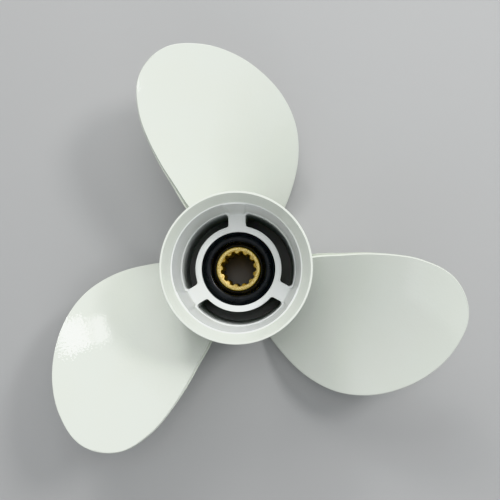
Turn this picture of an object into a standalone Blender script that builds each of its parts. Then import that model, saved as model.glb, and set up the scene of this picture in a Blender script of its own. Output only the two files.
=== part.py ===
"""Three-blade outboard boat propeller with a through-hub exhaust.

The shaft axis is Z. The forward end of the hub lies on z = 0, the flared exhaust end points up, and
+Y runs through the middle of the first web.
"""

import math

import bmesh
import bpy
import numpy as np

MM = 0.001

# Propeller
BLADE_COUNT = 3
PITCH = 330.0 * MM
TIP_RADIUS = 141.5 * MM
SEAT_GAP = 0.3 * MM
SMOOTH_ANGLE = math.radians(35.0)
ROUND_STEPS = 60

# Barrel and exhaust bell
BARREL_LENGTH = 108.0 * MM
BARREL_RADIUS = 41.2 * MM
FRONT_RADIUS = 40.6 * MM
FRONT_TAPER = 0.8 * MM
FRONT_TAPER_LENGTH = 3.0 * MM
RIM_RADIUS = 43.6 * MM
RIM_LAND = 1.2 * MM
RIM_CHAMFER = 0.5 * MM
FLARE_LENGTH = 18.0 * MM
FLARE_CURVE = ((0.72, 0.72), (0.40, 0.30))
BELL_RADIUS = 35.9 * MM
BELL_FILLET = 1.2 * MM
BELL_MOUTH_RADIUS = 37.3 * MM
MOUTH_LAND = 0.7 * MM
MOUTH_DROP = 0.3 * MM
CONE_DEPTH = 9.0 * MM

# Inner hub, webs and exhaust passages
WEB_FACE_HEIGHT = 58.0 * MM
WEB_FRONT_HEIGHT = 3.0 * MM
HUB_FRONT_HEIGHT = 1.0 * MM
HUB_REAR_RADIUS = 26.9 * MM
HUB_FRONT_RADIUS = 28.7 * MM
HUB_FRONT_CHAMFER = 0.6 * MM
HUB_BORE_REAR_RADIUS = 23.0 * MM
HUB_BORE_FRONT_RADIUS = 24.6 * MM
BORE_CHAMFER = 0.4 * MM
PASSAGE_REAR_RADIUS = 35.2 * MM
PASSAGE_FRONT_RADIUS = 35.3 * MM
PASSAGE_CORNER = 2.0 * MM
WEB_WIDTH = 10.8 * MM
WEB_RECESS_INSET = 1.4 * MM
PAD_WIDTH = 10.4 * MM
PAD_MOUTH_WIDTH = 13.0 * MM
PAD_FOOT_RADIUS = 34.5 * MM
PAD_DEPTH = 1.9 * MM
PAD_ROUNDING = 0.8 * MM
PAD_SPREAD = 0.4 * MM
PAD_OVERLAP = 4.0 * MM
FIRST_WEB_ANGLE = math.radians(90.0)
CUT_OVERRUN = 2.0 * MM

# Blade, in plan: distances of its outline from a point near its middle, at even directions
BLADE_CENTRE = (-10.0 * MM, 85.0 * MM)
OUTLINE_START = math.radians(-58.0)
OUTLINE_STEP = math.radians(22.5)
OUTLINE_MM = (64.2, 56.4, 52.6, 50.7, 49.1, 48.7, 50.7, 54.5, 58.3, 55.5, 47.3, 41.4, 40.1, 43.8, 55.0)
BLADE_HEIGHT = 42.0 * MM
BLADE_REFERENCE_RADIUS = 44.0 * MM
RAKE = 0.25
ROOT_RADIUS = 38.8 * MM
ROOT_THICKNESS = 11.5 * MM
TIP_THICKNESS = 4.0 * MM
THICKNESS_REACH = 32.0 * MM
CREST_BLEND = 0.3
ROOT_EDGE = 3.0 * MM
OUTER_EDGE = 1.6 * MM
OUTER_EDGE_RADIUS = 90.0 * MM
EDGE_ROUNDING = 0.35
ROOT_FILLET = 5.0 * MM
FILLET_FADE = 2.0
EDGE_POINTS = 38
ROOT_POINTS = 10
BLADE_RINGS = (0.955, 0.92, 0.86, 0.74, 0.56, 0.32)

# Rubber bushing
RUBBER_REAR_HEIGHT = 54.5 * MM
RUBBER_FRONT_HEIGHT = 7.0 * MM
RIDGE_HEIGHT = 57.2 * MM
RIDGE_RADIUS = 18.9 * MM
RIDGE_WIDTH = 3.2 * MM
RIDGE_SHOULDER = 0.45
RIDGE_FOOT = 0.8
RIDGE_ROUNDING = 0.8 * MM
REAR_CHAMFER = 0.8 * MM
FRONT_CHAMFER = 1.0 * MM
SLEEVE_GROOVE_HEIGHT = 52.5 * MM
RUBBER_STEPS = 48

# Splined sleeve
SLEEVE_RADIUS = 13.65 * MM
SLEEVE_FRONT_HEIGHT = 10.0 * MM
SLEEVE_REAR_HEIGHT = 58.5 * MM
SLEEVE_CHAMFER = 0.5 * MM
SLEEVE_STEPS = 52
TOOTH_COUNT = 13
SPLINE_MAJOR_RADIUS = 11.1 * MM
SPLINE_MINOR_RADIUS = 9.75 * MM
FIRST_GROOVE_ANGLE = math.radians(79.0)
GROOVE_FLOOR_SHARE = 0.30
TOOTH_TOP_SHARE = 0.26

PART_NAME = "outboard_boat_propeller"
CUTTER_NAME = "cutters"


def clear_scene():
    """Remove every object and the collections of an earlier run."""
    for obj in list(bpy.data.objects):
        bpy.data.objects.remove(obj, do_unlink=True)
    for name in (PART_NAME, CUTTER_NAME):
        if name in bpy.data.collections:
            bpy.data.collections.remove(bpy.data.collections[name])


def new_collection(name):
    """Make a collection in the scene."""
    collection = bpy.data.collections.new(name)
    bpy.context.scene.collection.children.link(collection)
    return collection


def principled(name, colour, roughness, metallic):
    """Make a material with one Principled surface."""
    material = bpy.data.materials.new(name)
    material.use_nodes = True
    surface = material.node_tree.nodes["Principled BSDF"]
    surface.inputs["Base Color"].default_value = (*colour, 1.0)
    surface.inputs["Roughness"].default_value = roughness
    surface.inputs["Metallic"].default_value = metallic
    material.diffuse_color = (*colour, 1.0)
    return material


def mesh_object(name, bm, collection):
    """Turn a bmesh into an object and free the bmesh."""
    mesh = bpy.data.meshes.new(name)
    bm.to_mesh(mesh)
    bm.free()
    obj = bpy.data.objects.new(name, mesh)
    collection.objects.link(obj)
    return obj


def smooth(obj):
    """Shade an object smooth, with its real corners kept sharp."""
    obj.data.shade_smooth()
    obj.data.set_sharp_from_angle(angle=SMOOTH_ANGLE)


def turned(name, profile, steps, collection):
    """Turn a closed profile of (radius, height) pairs, outer side first, about Z."""
    bm = bmesh.new()
    verts = [bm.verts.new((radius, 0.0, height)) for radius, height in profile]
    for start, end in zip(verts, verts[1:] + verts[:1]):
        bm.edges.new((start, end))
    obj = mesh_object(name, bm, collection)
    screw = obj.modifiers.new("Turn", "SCREW")
    screw.steps = steps
    screw.render_steps = steps
    screw.use_merge_vertices = True
    screw.merge_threshold = 0.00001
    screw.use_smooth_shade = True
    return obj


def loft(name, rings, collection):
    """Skin equal closed rings in turn, and close both ends with a fan."""
    bm = bmesh.new()
    loops = [[bm.verts.new(point) for point in ring] for ring in rings]
    for lower, upper in zip(loops, loops[1:]):
        for i in range(len(lower)):
            j = (i + 1) % len(lower)
            bm.faces.new((lower[i], lower[j], upper[j], upper[i]))
    for loop in (loops[0], loops[-1]):
        middle = bm.verts.new(np.mean([vert.co for vert in loop], axis=0))
        for i in range(len(loop)):
            bm.faces.new((loop[i], loop[(i + 1) % len(loop)], middle))
    bmesh.ops.recalc_face_normals(bm, faces=bm.faces)
    return mesh_object(name, bm, collection)


def make_cutter(obj):
    """Mark a helper shape as one that only cuts or joins."""
    obj.hide_render = True
    obj.display_type = "WIRE"
    return obj


def boolean(target, helper, operation):
    """Cut a helper shape from the target, or join it on."""
    modifier = target.modifiers.new(helper.name, "BOOLEAN")
    modifier.operation = operation
    modifier.solver = "EXACT"
    modifier.object = make_cutter(helper)


def ring_at(points, height):
    """Lift a flat outline of (x, y) points to a height."""
    return [(x, y, height) for x, y in points]


def turn_points(points, angle):
    """Turn (x, y) points about the shaft axis."""
    turn = complex(math.cos(angle), math.sin(angle))
    turned_points = [complex(x, y) * turn for x, y in points]
    return [(point.real, point.imag) for point in turned_points]


def hub_body(collection):
    """Turn the barrel, the web disc and the inner hub as one solid, before its passages are cut."""
    flare_foot = BARREL_LENGTH - FLARE_LENGTH
    flare_growth = RIM_RADIUS - BARREL_RADIUS
    flare = [
        (BARREL_RADIUS + growth * flare_growth, flare_foot + rise * FLARE_LENGTH)
        for rise, growth in FLARE_CURVE
    ]
    outside = [
        (RIM_RADIUS - RIM_CHAMFER, BARREL_LENGTH),
        (RIM_RADIUS, BARREL_LENGTH - RIM_CHAMFER),
        *flare,
        (BARREL_RADIUS, flare_foot),
        (FRONT_RADIUS, FRONT_TAPER_LENGTH),
        (FRONT_RADIUS - FRONT_TAPER, 0.0),
    ]
    front = [
        (PASSAGE_FRONT_RADIUS - WEB_RECESS_INSET, 0.0),
        (PASSAGE_FRONT_RADIUS - 1.5 * WEB_RECESS_INSET, WEB_FRONT_HEIGHT),
        (HUB_FRONT_RADIUS, WEB_FRONT_HEIGHT),
        (HUB_FRONT_RADIUS - HUB_FRONT_CHAMFER, HUB_FRONT_HEIGHT),
        (HUB_BORE_FRONT_RADIUS + BORE_CHAMFER, HUB_FRONT_HEIGHT),
        (HUB_BORE_FRONT_RADIUS, HUB_FRONT_HEIGHT + BORE_CHAMFER),
    ]
    rear = [
        (HUB_BORE_REAR_RADIUS, WEB_FACE_HEIGHT - BORE_CHAMFER),
        (HUB_BORE_REAR_RADIUS + BORE_CHAMFER, WEB_FACE_HEIGHT),
        (BELL_RADIUS - BELL_FILLET, WEB_FACE_HEIGHT),
        (BELL_RADIUS - 0.3 * BELL_FILLET, WEB_FACE_HEIGHT + 0.3 * BELL_FILLET),
        (BELL_RADIUS, WEB_FACE_HEIGHT + BELL_FILLET),
    ]
    mouth = [
        (BELL_MOUTH_RADIUS, BARREL_LENGTH - CONE_DEPTH - MOUTH_DROP),
        (BELL_MOUTH_RADIUS + MOUTH_LAND, BARREL_LENGTH - CONE_DEPTH),
        (RIM_RADIUS - RIM_LAND, BARREL_LENGTH),
    ]
    return turned("propeller_casting", outside + front + rear + mouth, ROUND_STEPS, collection)


def sector_outline(inner, outer, half_web):
    """Outline one exhaust passage between two webs, about +X, with rounded corners."""
    half_angle = math.pi / BLADE_COUNT

    def edge_angle(radius, inset):
        return half_angle - math.asin((half_web + inset) / radius)

    def corner(radius, side, start):
        """Round a corner from the web's side to the arc of this radius."""
        centre_radius = radius - side * PASSAGE_CORNER
        centre_angle = edge_angle(centre_radius, PASSAGE_CORNER)
        centre = complex(centre_radius * math.cos(centre_angle), centre_radius * math.sin(centre_angle))
        to_web = centre_angle + (math.asin((half_web + PASSAGE_CORNER) / centre_radius) + math.pi / 2)
        to_arc = centre_angle if side > 0 else centre_angle + math.pi
        angles = np.linspace(to_arc, to_web, 4) if start else np.linspace(to_web, to_arc, 4)
        points = [centre + PASSAGE_CORNER * complex(math.cos(a), math.sin(a)) for a in angles]
        return [(point.real, point.imag) for point in points]

    def arc(radius, side):
        """Follow the arc from the middle of the passage to its corner."""
        end = edge_angle(radius - side * PASSAGE_CORNER, PASSAGE_CORNER)
        return [(radius * math.cos(a), radius * math.sin(a)) for a in np.linspace(0.0, end, 9)[:-1]]

    upper = arc(outer, 1.0) + corner(outer, 1.0, True) + corner(inner, -1.0, False)
    upper += arc(inner, -1.0)[::-1]
    lower = [(x, -y) for x, y in upper[1:-1]][::-1]
    return upper + lower


def passage_cutter(index, collection):
    """Loft one exhaust passage, which narrows towards the front because the hub widens there."""
    length = WEB_FACE_HEIGHT
    angle = FIRST_WEB_ANGLE + (index + 0.5) * 2.0 * math.pi / BLADE_COUNT
    rings = []
    for height in (length + CUT_OVERRUN, -CUT_OVERRUN):
        forward = (length - height) / length
        inner = HUB_REAR_RADIUS + (HUB_FRONT_RADIUS - HUB_REAR_RADIUS) * forward
        outer = PASSAGE_REAR_RADIUS + (PASSAGE_FRONT_RADIUS - PASSAGE_REAR_RADIUS) * forward
        outline = sector_outline(inner, outer, WEB_WIDTH / 2)
        rings.append(ring_at(turn_points(outline, angle), height))
    return loft(f"passage_cutter_{index + 1}", rings, collection)


def web_pad(index, collection):
    """Loft the raised pad that runs up the barrel wall from a web's end to the bell's mouth."""
    mouth_height = BARREL_LENGTH - CONE_DEPTH - 2.0 * MOUTH_DROP
    sections = (
        (WEB_FACE_HEIGHT - PAD_OVERLAP, PAD_FOOT_RADIUS, PAD_WIDTH),
        (WEB_FACE_HEIGHT, PAD_FOOT_RADIUS, PAD_WIDTH),
        (mouth_height, BELL_MOUTH_RADIUS - MOUTH_DROP, PAD_MOUTH_WIDTH),
    )
    angle = FIRST_WEB_ANGLE + index * 2.0 * math.pi / BLADE_COUNT
    rings = []
    for height, radius, width in sections:
        half = width / 2
        outline = [
            (radius, -half + PAD_ROUNDING),
            (radius, half - PAD_ROUNDING),
            (radius + PAD_ROUNDING, half),
            (radius + PAD_DEPTH, half + PAD_SPREAD),
            (radius + PAD_DEPTH, -half - PAD_SPREAD),
            (radius + PAD_ROUNDING, -half),
        ]
        rings.append(ring_at(turn_points(outline, angle), height))
    return loft(f"web_pad_{index + 1}", rings, collection)


def interpolate(knots, values, at):
    """Read a smooth curve through (knot, value) pairs, with slopes from the neighbours."""
    slopes = np.gradient(values, knots)
    index = np.clip(np.searchsorted(knots, at) - 1, 0, len(knots) - 2)
    span = knots[index + 1] - knots[index]
    part = (at - knots[index]) / span
    return (
        values[index] * (1 + 2 * part) * (1 - part) ** 2
        + slopes[index] * span * part * (1 - part) ** 2
        + values[index + 1] * part**2 * (3 - 2 * part)
        + slopes[index + 1] * span * part**2 * (part - 1)
    )


def free_edge(count):
    """Trace the blade's free edge in plan, from the leading root round the tip to the trailing root."""
    knots = OUTLINE_START + OUTLINE_STEP * np.arange(len(OUTLINE_MM))
    at = np.linspace(knots[0], knots[-1], count)
    distance = interpolate(knots, np.array(OUTLINE_MM) * MM, at)
    centre = np.array(BLADE_CENTRE)
    return centre + np.stack([distance * np.cos(at), distance * np.sin(at)], axis=1)


def blade_outline():
    """Close the free edge with an arc inside the barrel wall."""
    edge = free_edge(EDGE_POINTS)
    start = math.atan2(edge[-1][1], edge[-1][0])
    end = math.atan2(edge[0][1], edge[0][0])
    at = np.linspace(start, end, ROOT_POINTS + 2)[1:-1]
    root = ROOT_RADIUS * np.stack([np.cos(at), np.sin(at)], axis=1)
    return np.concatenate([edge, root])


def face_height(x, y):
    """Height of the driving face: a helicoid of the stated pitch, raked aft."""
    radius = np.hypot(x, y)
    turn = np.arctan2(-x, y)
    return BLADE_HEIGHT + PITCH * turn / (2 * math.pi) + RAKE * (radius - BLADE_REFERENCE_RADIUS)


def face_normals(points):
    """Unit normals of the driving face, pointing aft."""
    step = 0.01 * MM
    x, y = points[:, 0], points[:, 1]
    slope_x = (face_height(x + step, y) - face_height(x - step, y)) / (2 * step)
    slope_y = (face_height(x, y + step) - face_height(x, y - step)) / (2 * step)
    normals = np.stack([-slope_x, -slope_y, np.ones(len(points))], axis=1)
    return normals / np.linalg.norm(normals, axis=1)[:, None]


def on_face(points):
    """Place plan points on the driving face."""
    return np.column_stack([points, face_height(points[:, 0], points[:, 1])])


def edge_thickness(radius):
    """Thickness of the rounded free edge, which is stoutest at the root."""
    share = np.clip((OUTER_EDGE_RADIUS - radius) / (OUTER_EDGE_RADIUS - BARREL_RADIUS), 0.0, 1.0)
    return OUTER_EDGE + (ROOT_EDGE - OUTER_EDGE) * share


def distance_to(points, line):
    """Least distance from each plan point to a line of points."""
    return np.linalg.norm(points[:, None, :] - line[None, :, :], axis=2).min(axis=1)


def section_share(points):
    """Share of full thickness that a plan point has, smoothed where the two sides of the edge meet."""
    edge = free_edge(4 * EDGE_POINTS)
    tip = int(np.hypot(edge[:, 0], edge[:, 1]).argmax())
    leading = distance_to(points, edge[: tip + 1])
    trailing = distance_to(points, edge[tip:])
    width = CREST_BLEND * (leading + trailing) + 0.001 * MM
    overlap = np.clip(1.0 - np.abs(leading - trailing) / width, 0.0, 1.0)
    distance = np.minimum(leading, trailing) - overlap**2 * width / 4
    return 1.0 - (1.0 - np.clip(distance / THICKNESS_REACH, 0.0, 1.0)) ** 2


def blade_thickness(points):
    """Thickness of the blade at plan points, full in the middle and thin at the free edge."""
    radius = np.hypot(points[:, 0], points[:, 1])
    outward = np.clip((radius - BARREL_RADIUS) / (TIP_RADIUS - BARREL_RADIUS), 0.0, 1.0)
    full = ROOT_THICKNESS + (TIP_THICKNESS - ROOT_THICKNESS) * outward
    edge = edge_thickness(radius)
    return edge + (full - edge) * section_share(points)


def root_fillet(points):
    """Extra thickness of each side of the blade where it runs into the barrel."""
    radius = np.hypot(points[:, 0], points[:, 1])
    gap = np.clip(radius - BARREL_RADIUS, 0.0, ROOT_FILLET)
    rise = ROOT_FILLET - np.sqrt(ROOT_FILLET**2 - (ROOT_FILLET - gap) ** 2)
    return rise * np.clip(FILLET_FADE * section_share(points), 0.0, 1.0)


def blade(index, collection):
    """Loft one blade: rings from the middle of its back, round the free edge, to the middle of its face."""
    outline = blade_outline()
    centre = np.array(BLADE_CENTRE)
    edge = edge_thickness(np.hypot(outline[:, 0], outline[:, 1]))[:, None]
    normals = face_normals(outline)
    along = np.roll(on_face(outline), -1, axis=0) - np.roll(on_face(outline), 1, axis=0)
    inward = np.cross(normals, along)
    inward /= np.linalg.norm(inward, axis=1)[:, None]
    over_edge = outline + 0.5 * edge * normals[:, :2]
    shoulder = over_edge + EDGE_ROUNDING * edge * inward[:, :2]
    face_rings = [on_face(shoulder)]
    back_rings = [on_face(shoulder) - edge * face_normals(shoulder)]
    for share in BLADE_RINGS:
        plan = centre + share * (outline - centre)
        normal = face_normals(plan)
        fillet = root_fillet(plan)[:, None]
        face_rings.append(on_face(plan) + fillet * normal)
        back_rings.append(on_face(plan) - (blade_thickness(plan)[:, None] + fillet) * normal)
    middle_ring = [on_face(over_edge) - 0.5 * edge * normals]
    rings = back_rings[::-1] + middle_ring + face_rings
    obj = loft(f"blade_{index + 1}", rings, collection)
    smooth(obj)
    obj.rotation_euler.z = index * 2.0 * math.pi / BLADE_COUNT
    return obj


def propeller_casting(parts, cutters):
    """Join and cut the casting: body, three passages, three web pads and three blades."""
    casting = hub_body(parts)
    for index in range(BLADE_COUNT):
        boolean(casting, passage_cutter(index, cutters), "DIFFERENCE")
    for index in range(BLADE_COUNT):
        boolean(casting, web_pad(index, cutters), "UNION")
    for index in range(BLADE_COUNT):
        boolean(casting, blade(index, cutters), "UNION")
    casting.data.materials.append(principled("white_paint", (0.76, 0.79, 0.74), 0.22, 0.0))
    return casting


def rubber_bushing(parts):
    """Turn the bushing: tapered outside, a ridge on its rear face and a deep groove round the sleeve."""
    inner = SLEEVE_RADIUS + SEAT_GAP
    taper = (HUB_BORE_FRONT_RADIUS - HUB_BORE_REAR_RADIUS) / (WEB_FACE_HEIGHT - HUB_FRONT_HEIGHT)

    def bore_radius(height):
        return HUB_BORE_REAR_RADIUS + taper * (WEB_FACE_HEIGHT - height) - SEAT_GAP

    profile = [
        (bore_radius(RUBBER_REAR_HEIGHT) - REAR_CHAMFER, RUBBER_REAR_HEIGHT),
        (bore_radius(RUBBER_REAR_HEIGHT - REAR_CHAMFER), RUBBER_REAR_HEIGHT - REAR_CHAMFER),
        (bore_radius(RUBBER_FRONT_HEIGHT + FRONT_CHAMFER), RUBBER_FRONT_HEIGHT + FRONT_CHAMFER),
        (bore_radius(RUBBER_FRONT_HEIGHT) - FRONT_CHAMFER, RUBBER_FRONT_HEIGHT),
        (inner, RUBBER_FRONT_HEIGHT),
        (inner, SLEEVE_GROOVE_HEIGHT),
        (RIDGE_RADIUS - RIDGE_WIDTH, SLEEVE_GROOVE_HEIGHT),
        (RIDGE_RADIUS - RIDGE_SHOULDER * RIDGE_WIDTH, RIDGE_HEIGHT - RIDGE_ROUNDING),
        (RIDGE_RADIUS, RIDGE_HEIGHT),
        (RIDGE_RADIUS + RIDGE_SHOULDER * RIDGE_WIDTH, RIDGE_HEIGHT - RIDGE_ROUNDING),
        (RIDGE_RADIUS + RIDGE_FOOT * RIDGE_WIDTH, RUBBER_REAR_HEIGHT),
    ]
    bushing = turned("rubber_bushing", profile, RUBBER_STEPS, parts)
    bushing.data.materials.append(principled("black_rubber", (0.012, 0.013, 0.015), 0.38, 0.0))
    return bushing


def spline_outline():
    """Outline the splined bore: straight-sided teeth between two circles."""
    period = 2.0 * math.pi / TOOTH_COUNT
    points = []
    for tooth in range(TOOTH_COUNT):
        groove = FIRST_GROOVE_ANGLE + tooth * period
        corners = (
            (groove - 0.5 * GROOVE_FLOOR_SHARE * period, SPLINE_MAJOR_RADIUS),
            (groove + 0.5 * GROOVE_FLOOR_SHARE * period, SPLINE_MAJOR_RADIUS),
            (groove + 0.5 * (1.0 - TOOTH_TOP_SHARE) * period, SPLINE_MINOR_RADIUS),
            (groove + 0.5 * (1.0 + TOOTH_TOP_SHARE) * period, SPLINE_MINOR_RADIUS),
        )
        points += [(radius * math.cos(angle), radius * math.sin(angle)) for angle, radius in corners]
    return points


def splined_sleeve(parts, cutters):
    """Make the brass sleeve: a chamfered cylinder with the spline cut through it."""
    bm = bmesh.new()
    bmesh.ops.create_cone(
        bm,
        cap_ends=True,
        segments=SLEEVE_STEPS,
        radius1=SLEEVE_RADIUS,
        radius2=SLEEVE_RADIUS,
        depth=SLEEVE_REAR_HEIGHT - SLEEVE_FRONT_HEIGHT,
    )
    ends = [edge for edge in bm.edges if abs(edge.verts[0].co.z - edge.verts[1].co.z) < 1e-6]
    bmesh.ops.bevel(bm, geom=ends, offset=SLEEVE_CHAMFER, segments=1, affect="EDGES", profile=0.5)
    sleeve = mesh_object("splined_sleeve", bm, parts)
    sleeve.location.z = (SLEEVE_REAR_HEIGHT + SLEEVE_FRONT_HEIGHT) / 2
    outline = spline_outline()
    rings = [
        ring_at(outline, SLEEVE_FRONT_HEIGHT - CUT_OVERRUN),
        ring_at(outline, SLEEVE_REAR_HEIGHT + CUT_OVERRUN),
    ]
    boolean(sleeve, loft("spline_cutter", rings, cutters), "DIFFERENCE")
    sleeve.data.materials.append(principled("brass", (0.72, 0.51, 0.16), 0.28, 1.0))
    smooth(sleeve)
    return sleeve


def main():
    """Build the propeller."""
    clear_scene()
    parts = new_collection(PART_NAME)
    cutters = new_collection(CUTTER_NAME)
    propeller_casting(parts, cutters)
    rubber_bushing(parts)
    splined_sleeve(parts, cutters)


main()
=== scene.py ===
"""Looks of an outboard boat propeller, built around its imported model.

Lengths are in metres in the model's own frame: the shaft axis is Z, the hub's forward end lies on z = 0,
the flared exhaust end points up, and +Y runs through the middle of the first web.
"""
import logging
import math
from dataclasses import dataclass, field
from enum import Enum
from typing import Any, Callable, Iterable, Sequence

import bmesh
import bpy
import numpy as np
from mathutils import Matrix, Vector


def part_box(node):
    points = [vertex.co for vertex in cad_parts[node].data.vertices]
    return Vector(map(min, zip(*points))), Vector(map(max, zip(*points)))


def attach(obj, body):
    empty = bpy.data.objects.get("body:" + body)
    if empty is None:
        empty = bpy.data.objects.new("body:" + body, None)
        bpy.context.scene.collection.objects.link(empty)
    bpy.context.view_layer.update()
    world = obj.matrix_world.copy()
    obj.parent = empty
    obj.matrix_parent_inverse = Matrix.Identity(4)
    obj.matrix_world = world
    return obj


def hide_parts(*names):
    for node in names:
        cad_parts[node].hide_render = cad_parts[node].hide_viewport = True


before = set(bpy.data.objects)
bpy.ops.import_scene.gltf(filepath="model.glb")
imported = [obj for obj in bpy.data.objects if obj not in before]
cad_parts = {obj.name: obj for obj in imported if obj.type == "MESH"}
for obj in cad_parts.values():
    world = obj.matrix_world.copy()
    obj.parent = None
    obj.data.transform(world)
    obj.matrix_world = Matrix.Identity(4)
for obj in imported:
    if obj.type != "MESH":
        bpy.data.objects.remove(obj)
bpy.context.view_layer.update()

log = logging.getLogger("propeller")

MM = 0.001
TAU = 2.0 * math.pi
UP = (0.0, 0.0, 1.0)
Profile = list[tuple[float, float]]


class Axis(Enum):
    """Names the components of a vector socket."""

    X = "X"
    Y = "Y"
    Z = "Z"


class Slot(Enum):
    """Names the record's material slots."""

    PAINT = "white_paint"
    RUBBER = "black_rubber"
    BRASS = "brass"


class Join(Enum):
    """Names the ways in which one mesh works on another."""

    CUT = "DIFFERENCE"
    ADD = "UNION"


# Shader sockets and graphs


@dataclass(frozen=True)
class Signal:
    """Wraps an output socket, so that shader maths reads as an expression."""

    graph: "Graph"
    socket: bpy.types.NodeSocket

    def _math(self, operation: str, first: Any, second: Any = None) -> "Signal":
        """Add one Math node.

        Args:
            operation: The Math node's operation.
            first: The first value, a Signal or a number.
            second: The second value, where the operation takes two.

        Returns:
            The node's result.
        """
        inputs = {0: first} if second is None else {0: first, 1: second}
        return self.graph.node("ShaderNodeMath", {"operation": operation}, inputs)

    def __add__(self, other: Any) -> "Signal":
        """Add a Signal or a number."""
        return self._math("ADD", self, other)

    def __radd__(self, other: Any) -> "Signal":
        """Add to a number."""
        return self._math("ADD", other, self)

    def __sub__(self, other: Any) -> "Signal":
        """Subtract a Signal or a number."""
        return self._math("SUBTRACT", self, other)

    def __rsub__(self, other: Any) -> "Signal":
        """Subtract from a number."""
        return self._math("SUBTRACT", other, self)

    def __mul__(self, other: Any) -> "Signal":
        """Multiply by a Signal or a number."""
        return self._math("MULTIPLY", self, other)

    def __rmul__(self, other: Any) -> "Signal":
        """Multiply a number."""
        return self._math("MULTIPLY", other, self)

    def __truediv__(self, other: Any) -> "Signal":
        """Divide by a Signal or a number."""
        return self._math("DIVIDE", self, other)

    def __pow__(self, other: float) -> "Signal":
        """Raise to a power."""
        return self._math("POWER", self, other)

    def sine(self) -> "Signal":
        """Take the sine."""
        return self._math("SINE", self)

    def ramp(self, low: float, high: float, start: float = 0.0, end: float = 1.0) -> "Signal":
        """Map a range smoothly, and hold its ends.

        Args:
            low: The value that maps to start.
            high: The value that maps to end.
            start: The result at and before low.
            end: The result at and after high.

        Returns:
            The mapped value.
        """
        inputs = {"Value": self, "From Min": low, "From Max": high, "To Min": start, "To Max": end}
        settings = {"interpolation_type": "SMOOTHSTEP", "clamp": True}
        return self.graph.node("ShaderNodeMapRange", settings, inputs)

    def band(self, low: float, high: float, soft: float) -> "Signal":
        """Make a mask that is one between two values and fades outside them.

        Args:
            low: The value where the band is full again, from below.
            high: The value where it starts to fade.
            soft: The width of each fade.

        Returns:
            The mask.
        """
        return self.ramp(low - soft, low) * self.ramp(high, high + soft, 1.0, 0.0)


class Graph:
    """Holds one material's nodes."""

    def __init__(self, name: str) -> None:
        """Make the material and find its surface shader.

        Args:
            name: The material's name.
        """
        self.material = bpy.data.materials.new(name)
        self.material.use_nodes = True
        self.tree = self.material.node_tree
        self.surface = self.tree.nodes["Principled BSDF"]

    def node(self, kind: str, settings: dict[str, Any], inputs: dict[Any, Any], output: Any = 0) -> Signal:
        """Add a node.

        Args:
            kind: The node's type.
            settings: Its properties, which are set before its sockets.
            inputs: Values or Signals for its sockets, by name or number.
            output: The name or number of the output to return.

        Returns:
            The chosen output.
        """
        node = self.tree.nodes.new(kind)
        for key, value in settings.items():
            setattr(node, key, value)
        for key, value in inputs.items():
            self.feed(node.inputs[key], value)
        return Signal(self, node.outputs[output])

    def feed(self, socket: bpy.types.NodeSocket, value: Any) -> None:
        """Link a Signal to a socket, or set its value."""
        if isinstance(value, Signal):
            self.tree.links.new(value.socket, socket)
        else:
            socket.default_value = value

    def shade(self, **sockets: Any) -> bpy.types.Material:
        """Set the surface shader's sockets.

        Args:
            sockets: Values or Signals, by socket name with underscores for spaces.

        Returns:
            The finished material.
        """
        for key, value in sockets.items():
            self.feed(self.surface.inputs[key.replace("_", " ")], value)
        return self.material

    def position(self) -> Signal:
        """Read the place on the piece, in metres."""
        return self.node("ShaderNodeTexCoord", {}, {}, "Object")

    def part(self, vector: Signal, axis: Axis) -> Signal:
        """Read one component of a vector."""
        return self.node("ShaderNodeSeparateXYZ", {}, {"Vector": vector}, axis.value)

    def from_axis(self, vector: Signal) -> Signal:
        """Measure the distance from the shaft axis."""
        flat = self.node("ShaderNodeVectorMath", {"operation": "MULTIPLY"}, {0: vector, 1: (1.0, 1.0, 0.0)})
        return self.node("ShaderNodeVectorMath", {"operation": "LENGTH"}, {0: flat}, "Value")

    def noise(self, vector: Signal, size: float, detail: float = 2.0, roughness: float = 0.5) -> Signal:
        """Read a noise of a given grain.

        Args:
            vector: Where to read it.
            size: The grain's size in metres.
            detail: How many finer layers it has.
            roughness: How strong they are.

        Returns:
            A value that stays near one half.
        """
        inputs = {"Vector": vector, "Scale": 1.0 / size, "Detail": detail, "Roughness": roughness}
        return self.node("ShaderNodeTexNoise", {"noise_dimensions": "3D"}, inputs, "Fac")

    def stretched(self, vector: Signal, scale: tuple[float, float, float]) -> Signal:
        """Scale a place, so that a pattern on it is drawn out."""
        return self.node("ShaderNodeVectorMath", {"operation": "MULTIPLY"}, {0: vector, 1: scale})

    def blend(self, share: Any, first: Any, second: Any) -> Signal:
        """Mix two colours.

        Args:
            share: How much of the second shows.
            first: The first colour.
            second: The second colour.

        Returns:
            The mixed colour.
        """
        settings = {"data_type": "RGBA", "blend_type": "MIX"}
        return self.node("ShaderNodeMix", settings, {"Factor": share, "A": first, "B": second}, 2)

    def bump(self, height: Signal, depth: float, under: Signal | None = None) -> Signal:
        """Turn a height into a normal.

        Args:
            height: The height, from zero to one.
            depth: What one stands for, in metres.
            under: A normal to add it to.

        Returns:
            The normal.
        """
        inputs: dict[Any, Any] = {"Height": height, "Distance": depth, "Strength": 1.0}
        if under is not None:
            inputs["Normal"] = under
        return self.node("ShaderNodeBump", {}, inputs)


def linear(red: int, green: int, blue: int) -> tuple[float, float, float, float]:
    """Turn a screen colour into the shader's linear one."""
    parts = [value / 255.0 for value in (red, green, blue)]
    lit = [c / 12.92 if c <= 0.04045 else ((c + 0.055) / 1.055) ** 2.4 for c in parts]
    return (lit[0], lit[1], lit[2], 1.0)


# Finishes


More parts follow.
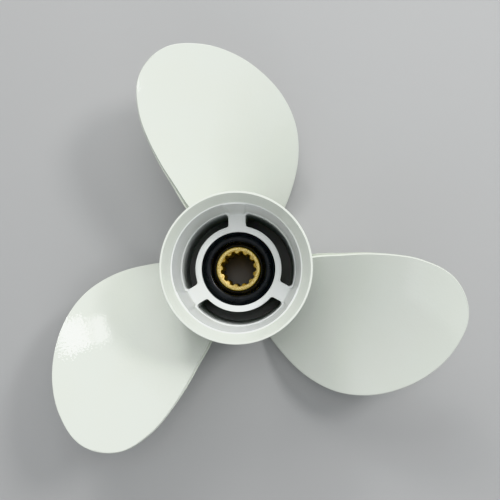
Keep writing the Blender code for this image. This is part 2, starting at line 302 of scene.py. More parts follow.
@dataclass(frozen=True)
class GlossPaint:
    """White paint on a casting: glossy with an orange peel outside, thinner and duller in the exhaust way, where
    a cooler, lighter copy of its colour is painted shade and bounce light.
    """

    colour: tuple[float, float, float, float] = linear(224, 228, 219)
    # Cooler, lighter copy of the paint colour for inside the bell: a painted shade tint, lightened to stand in
    # for light bouncing about in there.
    painted_bell_light_and_shade: tuple[float, float, float, float] = linear(235, 237, 236)
    roughness: float = 0.03
    dull: float = 0.54
    peel_size: float = 1.6 * MM
    peel_depth: float = 0.038 * MM
    cast_size: float = 0.9 * MM
    cast_depth: float = 0.03 * MM
    bell_radius: float = 38.0 * MM
    lip_height: float = 98.5 * MM

    def material(self) -> bpy.types.Material:
        """Build the paint.

        Returns:
            The material.
        """
        graph = Graph("white gloss paint")
        place = graph.position()
        radius = graph.from_axis(place)
        height = graph.part(place, Axis.Z)
        inside = radius.ramp(self.bell_radius - 0.3 * MM, self.bell_radius + 0.3 * MM, 1.0, 0.0)
        inside = inside * height.ramp(self.lip_height, self.lip_height + 1.0 * MM, 1.0, 0.0)
        cloud = graph.noise(place, 34.0 * MM, 3.0).ramp(0.35, 0.65)
        # Inside the bell the colour turns to the copy that carries painted shade and painted bounce light.
        body = graph.blend(inside, self.colour, self.painted_bell_light_and_shade)
        warmer = graph.blend(cloud * 0.25, body, linear(221, 224, 212))
        peel = graph.noise(place, self.peel_size, 1.0)
        cast = graph.noise(place, self.cast_size, 3.0, 0.6)
        smooth_normal = graph.bump(peel, self.peel_depth)
        normal = graph.bump(cast * inside, self.cast_depth, smooth_normal)
        roughness = self.roughness + inside * (self.dull - self.roughness) + cloud * 0.02
        return graph.shade(
            Base_Color=warmer,
            Roughness=roughness,
            Normal=normal,
            IOR=1.5,
        )


@dataclass(frozen=True)
class MouldedRubber:
    """Black rubber with a faint bloom and the fine grain of its mould."""

    colour: tuple[float, float, float, float] = (0.009, 0.0095, 0.011, 1.0)
    bloom: tuple[float, float, float, float] = (0.022, 0.023, 0.025, 1.0)
    roughness: float = 0.27
    grain: float = 0.35 * MM
    grain_depth: float = 0.012 * MM

    def material(self) -> bpy.types.Material:
        """Build the rubber.

        Returns:
            The material.
        """
        graph = Graph("black rubber")
        place = graph.position()
        cloud = graph.noise(place, 6.0 * MM, 3.0).ramp(0.35, 0.7)
        grain = graph.noise(place, self.grain, 2.0)
        return graph.shade(
            Base_Color=graph.blend(cloud, self.colour, self.bloom),
            Roughness=self.roughness + cloud * 0.12,
            Normal=graph.bump(grain, self.grain_depth),
            Specular_IOR_Level=0.5,
        )


@dataclass(frozen=True)
class TurnedBrass:
    """Brass with turning rings on its end face and broach lines down its spline, with random tarnish and a
    spline bore darkened as painted shade.
    """

    colour: tuple[float, float, float, float] = (0.74, 0.62, 0.28, 1.0)
    # Darker brass, used both for random tarnish stains and for painted shade in the spline bore.
    tarnish_and_shade: tuple[float, float, float, float] = (0.50, 0.30, 0.07, 1.0)
    roughness: float = 0.30
    ring_pitch: float = 0.16 * MM
    ring_depth: float = 0.006 * MM
    line_size: float = 0.14 * MM
    line_depth: float = 0.010 * MM
    bore_radius: float = 11.3 * MM

    def material(self) -> bpy.types.Material:
        """Build the brass.

        Returns:
            The material.
        """
        graph = Graph("turned brass")
        place = graph.position()
        radius = graph.from_axis(place)
        bore = radius.ramp(self.bore_radius - 0.1 * MM, self.bore_radius + 0.1 * MM, 1.0, 0.0)
        wobble = graph.noise(place, 3.0 * MM, 2.0) * 0.6
        rings = (radius * (TAU / self.ring_pitch) + wobble).sine() * 0.5 + 0.5
        lines = graph.noise(graph.stretched(place, (1.0, 1.0, 0.04)), self.line_size, 2.0)
        stain = graph.noise(place, 0.8 * MM, 3.0, 0.65).ramp(0.42, 0.60)
        normal = graph.bump(rings * (1.0 - bore), self.ring_depth)
        return graph.shade(
            # The stain's share of the darker colour is tarnish; the bore's fixed share is painted shade in the
            # spline's grooves.
            Base_Color=graph.blend(stain * 0.7 + bore * 0.3, self.colour, self.tarnish_and_shade),
            Metallic=1.0,
            Roughness=self.roughness + stain * 0.16 + bore * 0.10,
            Normal=graph.bump(lines * bore, self.line_depth, normal),
        )


@dataclass(frozen=True)
class StudioFloor:
    """Pale matt sweep under the propeller."""

    colour: tuple[float, float, float, float] = linear(178, 178, 177)
    roughness: float = 0.6

    def material(self) -> bpy.types.Material:
        """Build the floor's finish.

        Returns:
            The material.
        """
        graph = Graph("studio floor")
        mottle = graph.noise(graph.position(), 1.2 * MM, 3.0)
        return graph.shade(
            Base_Color=graph.blend(mottle * 0.3, self.colour, linear(170, 171, 171)),
            Roughness=self.roughness,
        )


# Mesh work


def deselect() -> None:
    """Leave object mode with nothing selected."""
    if bpy.context.object is not None and bpy.context.object.mode != "OBJECT":
        bpy.ops.object.mode_set(mode="OBJECT")
    bpy.ops.object.select_all(action="DESELECT")


def choose(*objects: bpy.types.Object) -> None:
    """Select these objects, the first one active."""
    deselect()
    for obj in objects:
        obj.select_set(True)
    bpy.context.view_layer.objects.active = objects[0]


def coordinates(obj: bpy.types.Object) -> np.ndarray:
    """Read an object's vertices."""
    flat = np.empty(len(obj.data.vertices) * 3)
    obj.data.vertices.foreach_get("co", flat)
    return flat.reshape(-1, 3)


def move_vertices(obj: bpy.types.Object, points: np.ndarray) -> None:
    """Write an object's vertices back."""
    obj.data.vertices.foreach_set("co", points.ravel())
    obj.data.update()


def apply_modifiers(obj: bpy.types.Object) -> None:
    """Apply every modifier of an object, in order."""
    choose(obj)
    for modifier in list(obj.modifiers):
        bpy.ops.object.modifier_apply(modifier=modifier.name)


def work_on(target: bpy.types.Object, tool: bpy.types.Object, join: Join) -> None:
    """Cut a tool out of a target, or join it on, and remove the tool.

    Args:
        target: The mesh that is kept.
        tool: The mesh that works on it.
        join: Whether it cuts or adds.
    """
    modifier = target.modifiers.new(tool.name, "BOOLEAN")
    modifier.operation = join.value
    modifier.solver = "EXACT"
    modifier.object = tool
    apply_modifiers(target)
    bpy.data.objects.remove(tool, do_unlink=True)


def join_objects(name: str, objects: Sequence[bpy.types.Object]) -> bpy.types.Object:
    """Join several objects into one.

    Args:
        name: The name of the result.
        objects: What is joined.

    Returns:
        The joined object.
    """
    choose(*objects)
    bpy.ops.object.join()
    objects[0].name = name
    return objects[0]


def face_outwards(obj: bpy.types.Object, merge: float = 0.0005 * MM) -> None:
    """Merge doubled vertices and turn every face outwards."""
    choose(obj)
    bpy.ops.object.mode_set(mode="EDIT")
    bpy.ops.mesh.select_all(action="SELECT")
    bpy.ops.mesh.remove_doubles(threshold=merge)
    bpy.ops.mesh.normals_make_consistent(inside=False)
    bpy.ops.object.mode_set(mode="OBJECT")


@dataclass(frozen=True)
class Corner:
    """One corner of a turned profile, with the radius that rounds it."""

    radius: float
    height: float
    round: float = 0.0


def rounded_profile(corners: Sequence[Corner], longest: float, arc_steps: int = 6) -> Profile:
    """Round a closed profile's corners and split its long sides.

    Args:
        corners: The profile's corners in order.
        longest: The longest side that stays whole.
        arc_steps: How many sides a rounded corner gets.

    Returns:
        Pairs of radius and height.
    """
    points: list[np.ndarray] = []
    spots = [np.array([corner.radius, corner.height]) for corner in corners]
    for index, corner in enumerate(corners):
        spot = spots[index]
        if corner.round <= 0.0:
            points.append(spot)
            continue
        back = spots[index - 1] - spot
        ahead = spots[(index + 1) % len(spots)] - spot
        back_length, ahead_length = np.linalg.norm(back), np.linalg.norm(ahead)
        back, ahead = back / back_length, ahead / ahead_length
        half = math.acos(max(-1.0, min(1.0, float(back @ ahead)))) / 2.0
        reach = min(corner.round / math.tan(half), 0.48 * back_length, 0.48 * ahead_length)
        radius = reach * math.tan(half)
        middle = spot + (back + ahead) / np.linalg.norm(back + ahead) * radius / math.sin(half)
        first = spot + back * reach - middle
        last = spot + ahead * reach - middle
        sweep = math.atan2(first[0] * last[1] - first[1] * last[0], float(first @ last))
        for step in range(arc_steps + 1):
            turn = sweep * step / arc_steps
            rotation = np.array([[math.cos(turn), -math.sin(turn)], [math.sin(turn), math.cos(turn)]])
            points.append(middle + rotation @ first)
    profile: Profile = []
    for start, end in zip(points, points[1:] + points[:1]):
        pieces = max(1, math.ceil(float(np.linalg.norm(end - start)) / longest))
        for piece in range(pieces):
            spot = start + (end - start) * piece / pieces
            profile.append((float(spot[0]), float(spot[1])))
    return profile


def turn_piece(name: str, profile: Profile, steps: int) -> bpy.types.Object:
    """Turn a closed profile into a solid ring, by extruding a circle from each point to the next.

    Args:
        name: The object's name.
        profile: Pairs of radius and height.
        steps: How many sides the circle has.

    Returns:
        The turned object.
    """
    deselect()
    radius, height = profile[0]
    bpy.ops.mesh.primitive_circle_add(
        vertices=steps, radius=radius, fill_type="NOTHING", location=(0.0, 0.0, height)
    )
    obj = bpy.context.object
    obj.name = name
    bpy.ops.object.mode_set(mode="EDIT")
    bpy.ops.mesh.select_all(action="SELECT")
    for (radius, height), (wider, higher) in zip(profile, profile[1:]):
        lift = {"value": (0.0, 0.0, higher - height)}
        bpy.ops.mesh.extrude_edges_move(TRANSFORM_OT_translate=lift)
        share = wider / radius
        bpy.ops.transform.resize(value=(share, share, 1.0), center_override=(0.0, 0.0, higher))
    bpy.ops.mesh.select_all(action="DESELECT")
    bpy.ops.mesh.select_mode(type="EDGE")
    bpy.ops.mesh.select_non_manifold()
    bpy.ops.mesh.bridge_edge_loops()
    bpy.ops.object.mode_set(mode="OBJECT")
    bpy.ops.object.transform_apply(location=True, rotation=True, scale=True)
    face_outwards(obj)
    return obj


def skin(name: str, rings: Sequence[np.ndarray]) -> bpy.types.Object:
    """Skin equal closed rings in turn and close both ends, for a form between unlike sections.

    Args:
        name: The object's name.
        rings: Arrays of points, each one a closed ring.

    Returns:
        The closed object.
    """
    bm = bmesh.new()
    loops = [[bm.verts.new(point) for point in ring] for ring in rings]
    for lower, upper in zip(loops, loops[1:]):
        for i, vert in enumerate(lower):
            j = (i + 1) % len(lower)
            bm.faces.new((vert, lower[j], upper[j], upper[i]))
    for loop, ring in ((loops[0], rings[0]), (loops[-1], rings[-1])):
        middle = bm.verts.new(np.mean(ring, axis=0))
        for i, vert in enumerate(loop):
            bm.faces.new((vert, loop[(i + 1) % len(loop)], middle))
    bmesh.ops.recalc_face_normals(bm, faces=bm.faces)
    mesh = bpy.data.meshes.new(name)
    bm.to_mesh(mesh)
    bm.free()
    obj = bpy.data.objects.new(name, mesh)
    bpy.context.scene.collection.objects.link(obj)
    return obj


def finish_piece(obj: bpy.types.Object, finish: bpy.types.Material, node: str) -> None:
    """Shade a piece, dress it and tie it to the model.

    Args:
        obj: The finished mesh.
        finish: Its material.
        node: The CAD node that the piece stands for.
    """
    choose(obj)
    bpy.ops.object.shade_smooth_by_angle(angle=math.radians(35.0))
    obj.data.materials.clear()
    obj.data.materials.append(finish)
    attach(obj, "root")
    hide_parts(node)
    log.info("%s: %d vertices, %d faces", obj.name, len(obj.data.vertices), len(obj.data.polygons))


def smooth_step(value: np.ndarray, low: float, high: float) -> np.ndarray:
    """Rise smoothly from zero at low to one at high."""
    share = np.clip((value - low) / (high - low), 0.0, 1.0)
    return share * share * (3.0 - 2.0 * share)


def turned_about_axis(points: np.ndarray, angle: float) -> np.ndarray:
    """Turn points about the shaft axis."""
    cosine, sine = math.cos(angle), math.sin(angle)
    result = points.copy()
    result[:, 0] = points[:, 0] * cosine - points[:, 1] * sine
    result[:, 1] = points[:, 0] * sine + points[:, 1] * cosine
    return result


# The casting


@dataclass
class HubBody:
    """Barrel, flared bell, web disc and inner hub, turned as one body."""

    length: float
    steps: int = 360
    longest: float = 6.0 * MM
    barrel_radius: float = 41.2 * MM
    front_radius: float = 40.6 * MM
    front_wall_radius: float = 35.3 * MM
    rim_radius: float = 43.6 * MM
    flare_length: float = 18.0 * MM
    bell_radius: float = 35.9 * MM
    mouth_radius: float = 37.3 * MM
    mouth_land: float = 0.7 * MM
    cone_depth: float = 9.0 * MM
    face_height: float = 58.0 * MM
    web_front_height: float = 3.0 * MM
    hub_front_height: float = 1.0 * MM
    hub_front_radius: float = 28.7 * MM
    bore_rear_radius: float = 23.0 * MM
    bore_front_radius: float = 24.6 * MM
    pad_width: float = 10.4 * MM
    pad_mouth_width: float = 13.0 * MM
    pad_rise: float = 1.4 * MM
    pad_shoulder: float = 0.9 * MM
    web_angles: tuple[float, ...] = tuple(math.radians(90.0) + TAU * i / 3 for i in range(3))

    def outer_radius(self, height: np.ndarray) -> np.ndarray:
        """Radius of the barrel's outside below the flare."""
        share = np.clip(height / (self.length - self.flare_length), 0.0, 1.0)
        return self.front_radius + (self.barrel_radius - self.front_radius) * share

    def corners(self) -> list[Corner]:
        """List the profile's corners, down the outside and back up the inside.

        Returns:
            The corners.
        """
        foot = self.length - self.flare_length
        growth = self.rim_radius - self.barrel_radius
        lip = self.length - self.cone_depth
        outside = [
            Corner(self.rim_radius, self.length, 0.5 * MM),
            Corner(self.rim_radius - 0.1 * growth, self.length - 0.16 * self.flare_length, 6.0 * MM),
            Corner(self.barrel_radius + 0.1 * growth, foot + 0.34 * self.flare_length, 30.0 * MM),
            Corner(self.barrel_radius, foot),
            Corner(self.front_radius, 0.0, 1.2 * MM),
        ]
        front = [
            Corner(self.front_wall_radius - 1.4 * MM, 0.0, 0.6 * MM),
            Corner(self.front_wall_radius - 2.1 * MM, self.web_front_height, 1.0 * MM),
            Corner(self.hub_front_radius - 0.2 * MM, self.web_front_height, 0.6 * MM),
            Corner(self.hub_front_radius - 0.8 * MM, self.hub_front_height, 0.6 * MM),
            Corner(self.bore_front_radius, self.hub_front_height, 0.6 * MM),
        ]
        inside = [
            Corner(self.bore_rear_radius, self.face_height, 0.7 * MM),
            Corner(self.bell_radius, self.face_height, 1.5 * MM),
            Corner(self.mouth_radius, lip - 0.3 * MM, 0.25 * MM),
            Corner(self.mouth_radius + self.mouth_land, lip, 0.25 * MM),
            Corner(self.rim_radius - 1.2 * MM, self.length, 0.3 * MM),
        ]
        return outside + front + inside

    def raise_pads(self, obj: bpy.types.Object) -> None:
        """Press the bell's wall in above each web, which makes the raised pads."""
        points = coordinates(obj)
        radius = np.hypot(points[:, 0], points[:, 1])
        angle = np.arctan2(points[:, 1], points[:, 0])
        lip = self.length - self.cone_depth - 0.4 * MM
        wall = (radius > self.bell_radius - 2.0 * MM) & (radius < self.mouth_radius + 0.05 * MM)
        wall &= (points[:, 2] > self.face_height - 0.01 * MM) & (points[:, 2] < lip)
        up = np.clip((points[:, 2] - self.face_height) / (lip - self.face_height), 0.0, 1.0)
        half_width = 0.5 * (self.pad_width + (self.pad_mouth_width - self.pad_width) * up)
        inset = np.zeros(len(points))
        for web in self.web_angles:
            apart = np.abs((angle - web + math.pi) % TAU - math.pi) * radius
            plateau = 1.0 - smooth_step(apart - half_width, -self.pad_shoulder, self.pad_shoulder)
            inset += plateau * self.pad_rise * (1.0 - 0.8 * up)
        share = 1.0 - np.where(wall, inset, 0.0) / radius
        points[:, 0] *= share
        points[:, 1] *= share
        move_vertices(obj, points)

    def build(self) -> bpy.types.Object:
        """Turn the body and raise its pads.

        Returns:
            The body.
        """
        body = turn_piece("propeller", rounded_profile(self.corners(), self.longest), self.steps)
        self.raise_pads(body)
        return body


@dataclass
class ExhaustPassages:
    """The openings between the webs, with rounded mouths and drafted walls."""

    body: HubBody
    hub_radius: float = 26.9 * MM
    outer_radius: float = 35.2 * MM
    web_width: float = 10.8 * MM
    corner: float = 2.0 * MM
    mouth_round: float = 0.35 * MM
    arc_points: int = 40
    corner_points: int = 8

    def quarter(self, inner: float, outer: float, half_web: float, corner: float) -> list[complex]:
        """Outline half of one passage about +X, from the middle of its outer arc to that of its inner one.

        Args:
            inner: The radius of the inner wall.
            outer: The radius of the outer wall.
            half_web: Half the web's width.
            corner: The radius of the corners.

        Returns:
            Points in the plane.
        """
        half_angle = math.pi / len(self.body.web_angles)
        points: list[complex] = []
        for radius, side in ((outer, 1.0), (inner, -1.0)):
            middle_radius = radius - side * corner
            lean = math.asin((half_web + corner) / middle_radius)
            middle_angle = half_angle - lean
            middle = middle_radius * np.exp(1j * middle_angle)
            to_web = middle_angle + lean + math.pi / 2
            to_arc = middle_angle + (0.0 if side > 0 else math.pi)
            arc = radius * np.exp(1j * np.linspace(0.0, middle_angle, self.arc_points + 1)[:-1])
            bend = middle + corner * np.exp(1j * np.linspace(to_arc, to_web, self.corner_points))
            half = list(arc) + list(bend)
            points += half if side > 0 else half[::-1]
        return points

    def ring(self, height: float, inner: float, outer: float, grow: float) -> np.ndarray:
        """Outline one passage about +X at a height.

        Args:
            height: Where the outline lies.
            inner: The radius of the inner wall.
            outer: The radius of the outer wall.
            grow: How far the mouth's rounding opens the webs and the hub there.

        Returns:
            The outline's points.
        """
        upper = self.quarter(inner - grow, outer, self.web_width / 2 - grow, self.corner + grow)
        outline = upper + [point.conjugate() for point in upper[1:-1]][::-1]
        return np.array([[point.real, point.imag, height] for point in outline])

    def rings(self) -> list[np.ndarray]:
        """List the outlines of one passage from above its mouth to below its front end."""
        top = self.body.face_height
        rings = [self.ring(top + 3.0 * MM, self.hub_radius, self.outer_radius, self.mouth_round + 1.2 * MM)]
        rings.append(self.ring(top + 0.25 * MM, self.hub_radius, self.outer_radius, self.mouth_round + 0.5 * MM))
        for step in range(1, 8):
            turn = math.radians(90.0 * step / 7)
            depth = self.mouth_round * (1.0 - math.cos(turn))
            grow = self.mouth_round * (1.0 - math.sin(turn))
            rings.append(self.ring(top - depth, self.hub_radius, self.outer_radius, grow))
        rings.append(self.ring(-2.0 * MM, self.body.hub_front_radius, self.body.front_wall_radius, 0.0))
        return rings

    def build(self) -> bpy.types.Object:
        """Make the cutter for all the passages.

        Returns:
            The cutter.
        """
        rings = self.rings()
        half_turn = math.pi / len(self.body.web_angles)
        cutters = []
        for index, web in enumerate(self.body.web_angles):
            placed = [turned_about_axis(ring, web + half_turn) for ring in rings]
            cutters.append(skin(f"passage {index + 1}", placed))
        return join_objects("passages", cutters)


@dataclass
class Blade:
    """One blade: a raked helicoid face, a crowned back, a rounded free edge and a filleted root."""

    body: HubBody
    tip_radius: float
    pitch: float = 330.0 * MM
    rake: float = 0.25
    centre: tuple[float, float] = (-10.0 * MM, 85.0 * MM)
    outline_start: float = math.radians(-58.0)
    outline_step: float = math.radians(22.5)
    outline_mm: tuple[float, ...] = (
        64.2, 56.4, 52.6, 50.7, 49.1, 48.7, 50.7, 54.5, 58.3, 55.5, 47.3, 41.4, 40.1, 43.8, 55.0
    )
    face_height: float = 42.0 * MM
    reference_radius: float = 44.0 * MM
    root_radius: float = 38.8 * MM
    root_thickness: float = 11.5 * MM
    tip_thickness: float = 4.0 * MM
    thickness_reach: float = 32.0 * MM
    root_edge: float = 3.0 * MM
    outer_edge: float = 1.6 * MM
    outer_edge_radius: float = 90.0 * MM
    root_fillet: float = 6.5 * MM
    edge_points: int = 150
    root_points: int = 34
    edge_rings: int = 9
    shares: tuple[float, ...] = field(default=())

    def __post_init__(self) -> None:
        """Space the inner rings: close by the root and the edge, wider in the middle."""
        near = [1.0 - 0.011 * step for step in range(1, 20)]
        far = list(np.linspace(near[-1], 0.06, 15)[1:])
        self.shares = tuple(near + far)

    def free_edge(self, count: int) -> np.ndarray:
        """Trace the free edge in plan, from the leading root round the tip to the trailing root.

        Args:
            count: How many points to return.

        Returns:
            The points in plan.
        """
        values = np.array(self.outline_mm) * MM
        knots = self.outline_start + self.outline_step * np.arange(len(values))
        at = np.linspace(knots[0], knots[-1], count)
        slopes = np.gradient(values, knots)
        index = np.clip(np.searchsorted(knots, at) - 1, 0, len(knots) - 2)
        part = (at - knots[index]) / self.outline_step
        distance = (
            values[index] * (1 + 2 * part) * (1 - part) ** 2
            + slopes[index] * self.outline_step * part * (1 - part) ** 2
            + values[index + 1] * part**2 * (3 - 2 * part)
            + slopes[index + 1] * self.outline_step * part**2 * (part - 1)
        )
        return np.array(self.centre) + np.stack([distance * np.cos(at), distance * np.sin(at)], axis=1)

    def outline(self) -> np.ndarray:
        """Close the free edge with an arc inside the barrel's wall."""
        edge = self.free_edge(self.edge_points)
        start = math.atan2(edge[-1][1], edge[-1][0])
        end = math.atan2(edge[0][1], edge[0][0])
        at = np.linspace(start, end, self.root_points + 2)[1:-1]
        root = self.root_radius * np.stack([np.cos(at), np.sin(at)], axis=1)
        return np.concatenate([edge, root])

    def height(self, plan: np.ndarray) -> np.ndarray:
        """Height of the driving face over plan points."""
        radius = np.hypot(plan[:, 0], plan[:, 1])
        turn = np.arctan2(-plan[:, 0], plan[:, 1])
        return self.face_height + self.pitch * turn / TAU + self.rake * (radius - self.reference_radius)

    def on_face(self, plan: np.ndarray) -> np.ndarray:
        """Lift plan points to the driving face."""
        return np.column_stack([plan, self.height(plan)])

    def normals(self, plan: np.ndarray) -> np.ndarray:
        """Unit normals of the driving face, pointing aft."""
        step = 0.01 * MM
        slopes = []
        for shift in (np.array([step, 0.0]), np.array([0.0, step])):
            slopes.append((self.height(plan + shift) - self.height(plan - shift)) / (2 * step))
        normals = np.stack([-slopes[0], -slopes[1], np.ones(len(plan))], axis=1)
        return normals / np.linalg.norm(normals, axis=1)[:, None]

    def edge_thickness(self, plan: np.ndarray) -> np.ndarray:
        """Thickness of the free edge, stoutest at the root."""
        radius = np.hypot(plan[:, 0], plan[:, 1])
        span = self.outer_edge_radius - self.body.barrel_radius
        share = np.clip((self.outer_edge_radius - radius) / span, 0.0, 1.0)
        return self.outer_edge + (self.root_edge - self.outer_edge) * share

    def edge_distance(self, plan: np.ndarray) -> np.ndarray:
        """Distance from the free edge, with the crease between its two sides smoothed away."""
        edge = self.free_edge(3 * self.edge_points)
        radii = np.hypot(edge[:, 0], edge[:, 1])
        tip = int(radii.argmax())
        leading, trailing = (
            np.linalg.norm(plan[:, None, :] - side[None, :, :], axis=2).min(axis=1)
            for side in (edge[: tip + 1], edge[tip:])
        )
        width = 0.3 * (leading + trailing) + 1e-9
        overlap = np.clip(width - np.abs(leading - trailing), 0.0, None) / width
        return np.minimum(leading, trailing) - overlap**2 * width / 4

    def crown(self, plan: np.ndarray) -> np.ndarray:
        """How full the section is: zero at the free edge and one in the middle."""
        share = np.clip(self.edge_distance(plan) / self.thickness_reach, 0.0, 1.0)
        return 1.0 - (1.0 - share) ** 2

    def sides(self, share: float, outline: np.ndarray) -> tuple[np.ndarray, np.ndarray]:
        """Place one ring on the face and on the back.

        Args:
            share: The ring's size against the outline.
            outline: The blade's outline in plan.

        Returns:
            The ring on the face and the ring on the back.
        """
        centre = np.array(self.centre)
        plan = centre + share * (outline - centre)
        radius = np.hypot(plan[:, 0], plan[:, 1])
        normal = self.normals(plan)
        crown = self.crown(plan)
        outward = (radius - self.body.barrel_radius) / (self.tip_radius - self.body.barrel_radius)
        full = self.root_thickness + (self.tip_thickness - self.root_thickness) * np.clip(outward, 0.0, 1.0)
        edge = self.edge_thickness(plan)
        thickness = edge + (full - edge) * crown
        gap = np.clip(radius - self.body.outer_radius(self.height(plan)), 0.0, self.root_fillet)
        fillet = self.root_fillet - np.sqrt(self.root_fillet**2 - (self.root_fillet - gap) ** 2)
        fillet *= np.clip(3.0 * crown, 0.0, 1.0)
        face = self.on_face(plan) + fillet[:, None] * normal
        back = self.on_face(plan) - (thickness + fillet)[:, None] * normal
        return face, back

    def edge_band(self, outline: np.ndarray) -> list[np.ndarray]:
        """Round the free edge, from its back corner to its face corner."""
        edge = self.edge_thickness(outline)[:, None]
        normals = self.normals(outline)
        over = outline + 0.5 * edge * normals[:, :2]
        on_face = self.on_face(over)
        along = np.roll(on_face, -1, axis=0) - np.roll(on_face, 1, axis=0)
        inward = np.cross(normals, along)
        inward /= np.linalg.norm(inward, axis=1)[:, None]
        rings = []
        for step in range(self.edge_rings):
            across = -1.0 + 2.0 * step / (self.edge_rings - 1)
            inset = 0.42 * (1.0 - (1.0 - abs(across) ** 2.6) ** (1.0 / 2.6))
            plan = over + inset * edge * inward[:, :2]
            depth = 0.5 * (1.0 - across) * edge
            rings.append(self.on_face(plan) - depth * normals)
        return rings

    def build(self, index: int) -> bpy.types.Object:
        """Skin the blade and turn it to its place.

        Args:
            index: Which blade it is, from zero.

        Returns:
            The blade.
        """
        outline = self.outline()
        pairs = [self.sides(share, outline) for share in self.shares]
        backs = [back for _, back in pairs][::-1]
        faces = [face for face, _ in pairs]
        rings = backs + self.edge_band(outline) + faces
        angle = TAU * index / len(self.body.web_angles)
        return skin(f"blade {index + 1}", [turned_about_axis(ring, angle) for ring in rings])


@dataclass
class Casting:
    """The painted casting: body, passages and blades in one mesh."""

    node: str = "propeller_casting"
    finish: GlossPaint = GlossPaint()
    tip_radius: float = 141.5 * MM

    def build(self) -> bpy.types.Object:
        """Model the casting and dress it.

        Returns:
            The casting.
        """
        _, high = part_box(self.node)
        body = HubBody(length=high.z)
        casting = body.build()
        work_on(casting, ExhaustPassages(body).build(), Join.CUT)
        blade = Blade(body, self.tip_radius)
        blades = [blade.build(index) for index in range(len(body.web_angles))]
        work_on(casting, join_objects("blades", blades), Join.ADD)
        finish_piece(casting, self.finish.material(), self.node)
        return casting


# The hub's inner pieces


@dataclass
class RubberBushing:
    """The rubber between hub and sleeve, with its ridge and its deep groove."""

    node: str = "rubber_bushing"
    finish: MouldedRubber = MouldedRubber()
    steps: int = 240
    gap: float = 0.3 * MM
    sleeve_radius: float = 13.65 * MM
    ridge_radius: float = 18.9 * MM
    ridge_width: float = 3.2 * MM
    shelf_drop: float = 2.7 * MM
    groove_drop: float = 4.7 * MM
    rear_radius: float = 22.75 * MM

    def corners(self) -> list[Corner]:
        """List the profile's corners, down the outside and back up the inside."""
        low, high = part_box(self.node)
        shelf = high.z - self.shelf_drop
        groove = high.z - self.groove_drop
        inner = self.sleeve_radius + self.gap
        return [
            Corner(self.rear_radius, shelf, 0.9 * MM),
            Corner(high.x - 0.05 * MM, low.z, 1.0 * MM),
            Corner(inner, low.z, 0.4 * MM),
            Corner(inner, groove, 0.3 * MM),
            Corner(self.ridge_radius - 1.05 * self.ridge_width, groove, 1.0 * MM),
            Corner(self.ridge_radius - 0.62 * self.ridge_width, high.z, 1.9 * MM),
            Corner(self.ridge_radius + 0.55 * self.ridge_width, high.z, 1.9 * MM),
            Corner(self.ridge_radius + 0.85 * self.ridge_width, shelf, 0.8 * MM),
        ]

    def build(self) -> bpy.types.Object:
        """Turn the bushing and dress it.

        Returns:
            The bushing.
        """
        profile = rounded_profile(self.corners(), 4.0 * MM)
        bushing = turn_piece("bushing", profile, self.steps)
        finish_piece(bushing, self.finish.material(), self.node)
        return bushing


@dataclass
class SplinedSleeve:
    """The brass sleeve, whose spline has chamfered ends."""

    node: str = "splined_sleeve"
    finish: TurnedBrass = TurnedBrass()
    teeth: int = 13
    points_a_tooth: int = 24
    major_radius: float = 11.1 * MM
    minor_radius: float = 9.75 * MM
    first_groove: float = math.radians(79.0)
    floor_share: float = 0.30
    top_share: float = 0.26
    chamfer_radius: float = 11.25 * MM
    chamfer_slope: float = 0.6
    outer_chamfer: float = 0.45 * MM

    def bore(self) -> tuple[np.ndarray, np.ndarray]:
        """Trace the spline.

        Returns:
            The angle and the radius of each point.
        """
        count = self.teeth * self.points_a_tooth
        angle = self.first_groove + TAU * np.arange(count) / count
        phase = np.abs((np.arange(count) / self.points_a_tooth + 0.5) % 1.0 - 0.5)
        rise = smooth_step(phase, self.floor_share / 2, (1.0 - self.top_share) / 2)
        share = np.clip((phase - self.floor_share / 2) / (0.5 - self.top_share / 2 - self.floor_share / 2), 0, 1)
        flank = 0.65 * share + 0.35 * rise
        return angle, self.major_radius + (self.minor_radius - self.major_radius) * flank

    def build(self) -> bpy.types.Object:
        """Skin the sleeve's rings and dress it.

        Returns:
            The sleeve.
        """
        low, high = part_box(self.node)
        angle, bore = self.bore()
        around = np.stack([np.cos(angle), np.sin(angle)], axis=1)
        outer = high.x * np.ones(len(angle))

        def ring(radius: Any, height: Any) -> np.ndarray:
            """Place one ring of points."""
            spread = np.broadcast_to(radius, len(angle))[:, None]
            return np.column_stack([around * spread, np.broadcast_to(height, len(angle))])

        lead = (self.chamfer_radius - bore) * self.chamfer_slope
        rings = [
            ring(self.chamfer_radius, high.z),
            ring(outer - self.outer_chamfer - 0.06 * MM, high.z),
            ring(outer - self.outer_chamfer, high.z - 0.02 * MM),
            ring(outer - 0.02 * MM, high.z - self.outer_chamfer),
            ring(outer, high.z - self.outer_chamfer - 0.06 * MM),
            ring(outer, low.z + self.outer_chamfer),
            ring(outer - self.outer_chamfer, low.z),
            ring(self.chamfer_radius, low.z),
            ring(bore, low.z + lead),
            ring(bore, high.z - lead),
        ]
        sleeve = closed_skin("sleeve", rings)
        finish_piece(sleeve, self.finish.material(), self.node)
        return sleeve


def closed_skin(name: str, rings: Sequence[np.ndarray]) -> bpy.types.Object:
    """Skin equal rings in turn and the last to the first, for a form with a hole through it.

    Args:
        name: The object's name.
        rings: Arrays of points, each one a closed ring.

    Returns:
        The closed object.
    """
    bm = bmesh.new()
    loops = [[bm.verts.new(point) for point in ring] for ring in rings]
    for lower, upper in zip(loops, loops[1:] + loops[:1]):
        for i, vert in enumerate(lower):
            j = (i + 1) % len(lower)
            bm.faces.new((vert, lower[j], upper[j], upper[i]))
    bmesh.ops.recalc_face_normals(bm, faces=bm.faces)
    mesh = bpy.data.meshes.new(name)
    bm.to_mesh(mesh)
    bm.free()
    obj = bpy.data.objects.new(name, mesh)
    bpy.context.scene.collection.objects.link(obj)
    return obj


# The studio


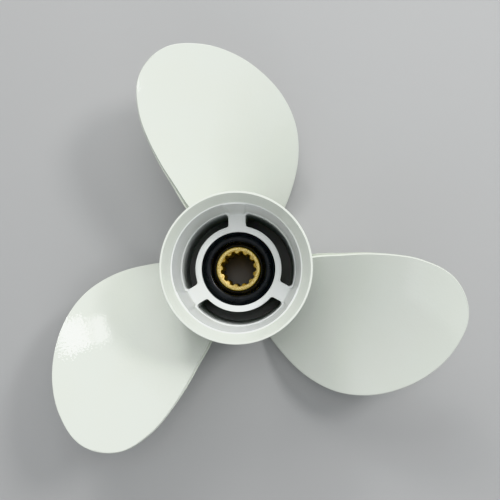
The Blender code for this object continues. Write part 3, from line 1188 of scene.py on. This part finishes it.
@dataclass(frozen=True)
class Softbox:
    """One rectangular lamp that looks at a point; one that isn't mirrored gives soft light only."""

    name: str
    place: tuple[float, float, float]
    size: tuple[float, float]
    power: float
    aim: tuple[float, float, float] = (0.0, 0.0, 0.05)
    colour: tuple[float, float, float] = (1.0, 1.0, 1.0)
    mirrored: bool = True

    def build(self) -> None:
        """Hang the lamp."""
        data = bpy.data.lights.new(self.name, "AREA")
        data.shape = "RECTANGLE"
        data.size, data.size_y = self.size
        data.energy = self.power
        data.color = self.colour
        lamp = bpy.data.objects.new(self.name, data)
        lamp.location = self.place
        lamp.visible_glossy = self.mirrored
        lamp.rotation_euler = (Vector(self.aim) - Vector(self.place)).to_track_quat("-Z", "Y").to_euler()
        bpy.context.scene.collection.objects.link(lamp)


@dataclass
class Studio:
    """Floor, lamps and camera."""

    rim_height: float
    distance: float = 470.0 * MM
    aside: tuple[float, float] = (14.7 * MM, -8.0 * MM)
    tilt: tuple[float, float] = (math.radians(-2.15), math.radians(-0.78))
    roll: float = math.radians(1.8)
    focal_pixels: float = 831.8
    frame_pixels: float = 500.0
    sensor: float = 36.0
    floor_size: float = 12.0
    softboxes: tuple[Softbox, ...] = (
        Softbox("overhead", (-0.02, 0.19, 1.60), (0.35, 0.35), 2.4, mirrored=False),
        Softbox("ceiling", (-0.02, 0.19, 1.62), (0.90, 0.90), 2.4),
        Softbox("high side", (0.26, 0.26, 1.50), (0.50, 0.50), 1.5, mirrored=False),
        Softbox("key", (0.70, 0.80, 1.06), (0.80, 0.55), 3.4),
        Softbox("low side", (0.745, 0.43, 1.15), (0.26, 0.26), 4.6),
        Softbox("window", (-0.17, 0.97, 1.04), (0.70, 0.50), 4.9, mirrored=False),
        Softbox("front", (0.0, -0.90, 1.12), (0.90, 0.60), 1.2),
        Softbox("upper pane", (-0.25, 1.05, 0.92), (0.20, 0.17), 2.0),
        Softbox("lower pane", (-0.29, 1.13, 0.77), (0.20, 0.11), 0.6),
    )

    def floor(self) -> None:
        """Lay the floor."""
        deselect()
        bpy.ops.mesh.primitive_plane_add(size=self.floor_size, location=(0.0, 0.0, 0.0))
        floor = bpy.context.object
        floor.name = "floor"
        floor.data.materials.append(StudioFloor().material())

    def camera(self) -> None:
        """Set up the camera at the photograph's viewing angle."""
        data = bpy.data.cameras.new("camera")
        data.sensor_width = self.sensor
        data.lens = self.sensor * self.focal_pixels / self.frame_pixels
        data.clip_start = 0.01
        camera = bpy.data.objects.new("camera", data)
        to_camera = (
            Matrix.Rotation(self.roll, 4, "Z")
            @ Matrix.Rotation(self.tilt[0], 4, "X")
            @ Matrix.Rotation(self.tilt[1], 4, "Y")
        )
        place = Matrix.Translation((*self.aside, self.rim_height + self.distance))
        camera.matrix_world = place @ to_camera.inverted()
        bpy.context.scene.collection.objects.link(camera)
        bpy.context.scene.camera = camera

    def world(self) -> None:
        """Fill the room with soft light."""
        world = bpy.data.worlds.new("studio")
        world.use_nodes = True
        background = world.node_tree.nodes["Background"]
        background.inputs["Color"].default_value = (0.86, 0.90, 0.95, 1.0)
        background.inputs["Strength"].default_value = 0.39
        bpy.context.scene.world = world
        bpy.context.scene.view_settings.view_transform = "Khronos PBR Neutral"

    def build(self) -> None:
        """Build the studio."""
        self.floor()
        for softbox in self.softboxes:
            softbox.build()
        self.world()
        self.camera()


def main() -> None:
    """Build the propeller's looks and the studio."""
    logging.basicConfig(level=logging.INFO, format="%(name)s: %(message)s")
    _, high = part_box("propeller_casting")
    Studio(rim_height=high.z).build()
    for piece in (Casting(), RubberBushing(), SplinedSleeve()):
        built = piece.build()
        log.info("built %s", built.name)


if __name__ == "__main__":
    main()
